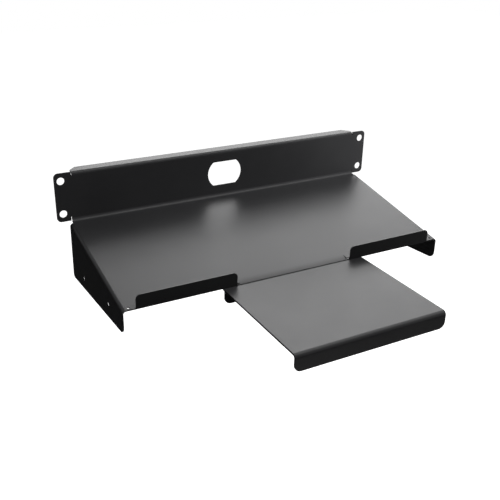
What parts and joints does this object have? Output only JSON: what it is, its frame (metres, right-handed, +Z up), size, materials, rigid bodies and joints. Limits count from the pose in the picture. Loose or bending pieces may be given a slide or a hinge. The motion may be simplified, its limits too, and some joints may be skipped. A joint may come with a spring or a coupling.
{
  "type": "rack keyboard tray",
  "caption": "Rack-mount keyboard tray: a panel with a cable port, a sloping shelf with side plates and front lips, and a mouse tray that slides out from under the shelf.",
  "frame": {"origin": "middle of the four rack holes, on the panel's rear face", "axes": "+X to the right seen from the front, +Y to the back into the rack, +Z up; the mouse tray is pulled out at rest"},
  "size_m": [0.4826, 0.3752, 0.1443],
  "materials": {
    "black_coat": "satin black powder coat",
    "zinc": "zinc plated",
    "alloy": "mill finish",
    "nylon": "natural nylon"
  },
  "bodies": {
    "shelf": {"shelf_body": "black_coat", "guide_left": "zinc", "guide_right": "zinc", "liner_left": "nylon", "liner_right": "nylon", "strap_front": "black_coat", "strap_rear": "black_coat", "shelf_studs": "zinc", "shelf_washers": "zinc", "shelf_nuts": "zinc", "guide_rivets": "zinc", "stop_pins": "zinc"},
    "tray": {"mouse_tray": "black_coat", "runner_left": "alloy", "runner_right": "alloy", "tray_studs": "zinc", "tray_washers": "zinc", "tray_nuts": "zinc"}
  },
  "joints": [
    {"name": "tray_slide", "type": "slide", "parent": "shelf", "child": "tray", "axis": [0, 1, 0], "range_m": [0, 0.145]}
  ]
}
